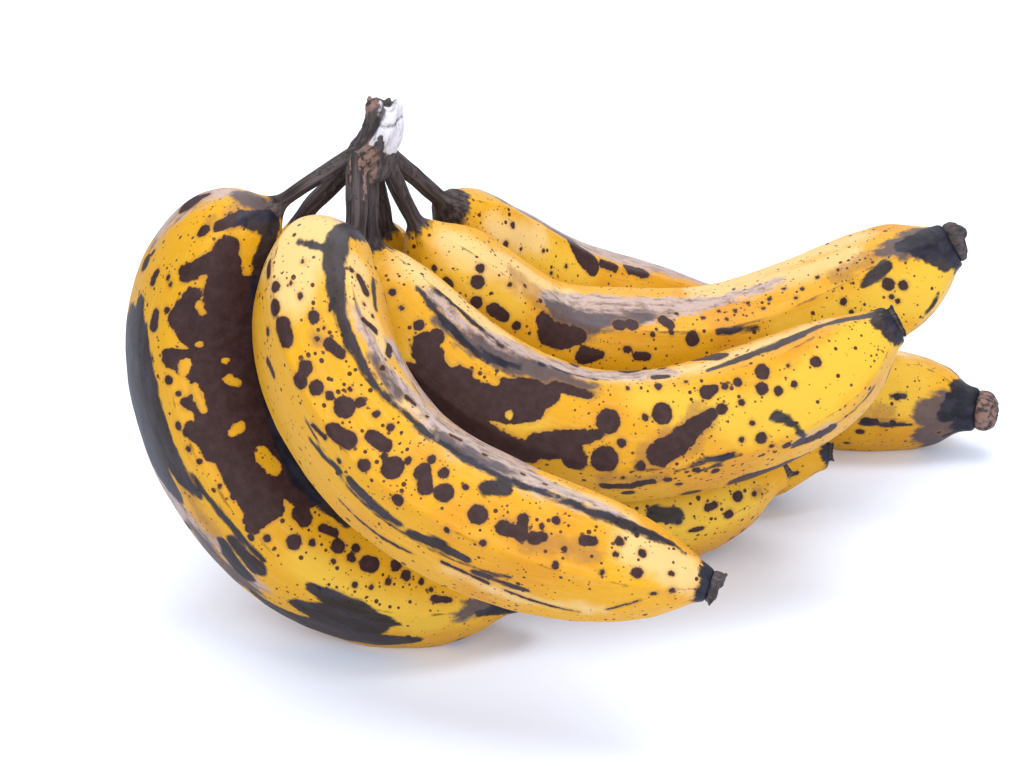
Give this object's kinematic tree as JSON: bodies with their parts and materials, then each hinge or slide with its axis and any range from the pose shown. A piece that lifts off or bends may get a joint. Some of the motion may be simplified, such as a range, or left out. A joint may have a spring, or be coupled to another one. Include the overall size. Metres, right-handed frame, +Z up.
{
  "type": "hand of bananas",
  "caption": "Hand of ripe bananas on thin dried necks that meet in a withered crown, two rows of curved fingers lying on a flat surface.",
  "frame": {"origin": "middle of the hand's bounding box, on the plane that the lower row of fingers rests on", "axes": "+Z up from the resting plane, +X along the hand towards the blossom ends, crown near the -X end"},
  "size_m": [0.2576, 0.204, 0.141],
  "materials": {
    "peel_brown_ripe": "satin peel, orange-yellow with large maroon-brown blotches",
    "peel_spotted": "satin peel, warm yellow with round brown spots and grey-black ridges",
    "peel_pale": "satin peel, paler yellow with a few spots and a black blossom end",
    "crown_bark": "dry, rough, withered brown-grey plant tissue"
  },
  "bodies": {
    "root": {"crown": "crown_bark", "banana_1": "peel_brown_ripe", "banana_2": "peel_spotted", "banana_3": "peel_spotted", "banana_4": "peel_spotted", "banana_5": "peel_pale", "banana_6": "peel_spotted", "banana_7": "peel_spotted"}
  },
  "joints": []
}
